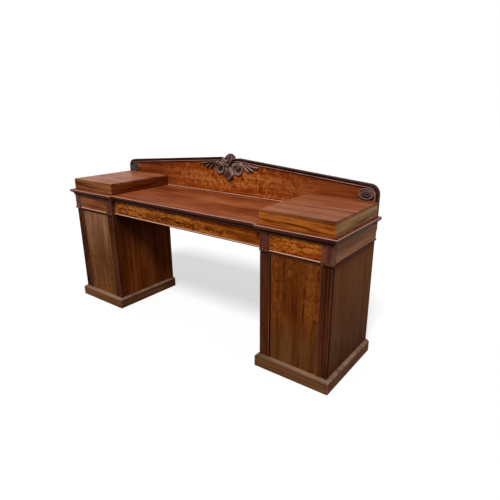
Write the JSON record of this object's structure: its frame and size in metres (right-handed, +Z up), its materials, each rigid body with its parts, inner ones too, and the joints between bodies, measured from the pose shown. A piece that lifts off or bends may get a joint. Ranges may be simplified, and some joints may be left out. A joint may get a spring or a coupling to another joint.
{
  "type": "pedestal sideboard",
  "caption": "Twin-pedestal mahogany sideboard with hinged cupboard doors, frieze drawers, raised boxes on a breakfront top and a carved pediment gallery.",
  "frame": {"origin": "on the floor, under the middle of the overall box", "axes": "+X along the sideboard to its right-hand pedestal, +Y to the wall behind, +Z up"},
  "size_m": [2.25, 0.592, 1.1603],
  "materials": {
    "figured_mahogany": "french polished plum-pudding mahogany veneer",
    "plain_mahogany": "french polished ribbon mahogany",
    "dark_mahogany": "stained and polished solid mahogany",
    "secondary_pine": "bare planed pine, aged",
    "brass": "aged",
    "screw_steel": "dull"
  },
  "bodies": {
    "carcass": {"box_lids": "plain_mahogany", "case_tops": "secondary_pine", "crest_palmette": "dark_mahogany", "crest_scrolls": "dark_mahogany", "crest_wings": "dark_mahogany", "door_head_rails": "dark_mahogany", "drawer_guides": "secondary_pine", "drawer_stops": "secondary_pine", "frieze_back": "secondary_pine", "frieze_blocks": "dark_mahogany", "frieze_dividers": "secondary_pine", "frieze_dust_board": "secondary_pine", "frieze_end_beads": "dark_mahogany", "frieze_posts": "dark_mahogany", "gallery_board": "figured_mahogany", "gallery_roundels": "dark_mahogany", "gallery_screws": "screw_steel", "left_box_walls": "plain_mahogany", "left_frieze_end": "plain_mahogany", "left_gallery_rail": "dark_mahogany", "left_pedestal_inner_side": "plain_mahogany", "left_pedestal_outer_side": "plain_mahogany", "left_pilasters": "dark_mahogany", "left_plinth": "dark_mahogany", "pedestal_backs": "secondary_pine", "pedestal_bottoms": "secondary_pine", "pedestal_shelves": "secondary_pine", "pedestal_tops": "secondary_pine", "pivot_sockets": "brass", "plinth_rails": "secondary_pine", "right_box_walls": "plain_mahogany", "right_frieze_end": "plain_mahogany", "right_gallery_rail": "dark_mahogany", "right_pedestal_inner_side": "plain_mahogany", "right_pedestal_outer_side": "plain_mahogany", "right_pilasters": "dark_mahogany", "right_plinth": "dark_mahogany", "roundel_beads": "dark_mahogany", "shelf_cleats": "secondary_pine", "top_board": "plain_mahogany", "top_moulding": "dark_mahogany"},
    "left_door": {"left_door": "plain_mahogany", "left_door_pivots": "brass", "left_lock_case": "brass"},
    "right_door": {"right_door": "plain_mahogany", "right_door_pivots": "brass", "right_lock_case": "brass"},
    "left_bolt": {"left_lock_bolt": "brass"},
    "right_bolt": {"right_lock_bolt": "brass"},
    "left_drawer": {"left_drawer_front": "figured_mahogany", "left_drawer_lip": "dark_mahogany", "left_drawer_linings": "secondary_pine"},
    "centre_drawer": {"centre_drawer_front": "figured_mahogany", "centre_drawer_lip": "dark_mahogany", "centre_drawer_linings": "secondary_pine"},
    "right_drawer": {"right_drawer_front": "figured_mahogany", "right_drawer_lip": "dark_mahogany", "right_drawer_linings": "secondary_pine"}
  },
  "joints": [
    {"name": "left_door_hinge", "type": "hinge", "parent": "carcass", "child": "left_door", "pos_m": [-0.73, -0.25, 0.3945], "axis": [0, 0, 1], "range_deg": [0, 90]},
    {"name": "right_door_hinge", "type": "hinge", "parent": "carcass", "child": "right_door", "pos_m": [0.73, -0.25, 0.3945], "axis": [0, 0, -1], "range_deg": [0, 90]},
    {"name": "left_bolt_slide", "type": "slide", "parent": "left_door", "child": "left_bolt", "axis": [-1, 0, 0], "range_m": [0, 0.008]},
    {"name": "right_bolt_slide", "type": "slide", "parent": "right_door", "child": "right_bolt", "axis": [1, 0, 0], "range_m": [0, 0.008]},
    {"name": "left_drawer_slide", "type": "slide", "parent": "carcass", "child": "left_drawer", "axis": [0, -1, 0], "range_m": [0, 0.36]},
    {"name": "centre_drawer_slide", "type": "slide", "parent": "carcass", "child": "centre_drawer", "axis": [0, -1, 0], "range_m": [0, 0.36]},
    {"name": "right_drawer_slide", "type": "slide", "parent": "carcass", "child": "right_drawer", "axis": [0, -1, 0], "range_m": [0, 0.36]}
  ]
}
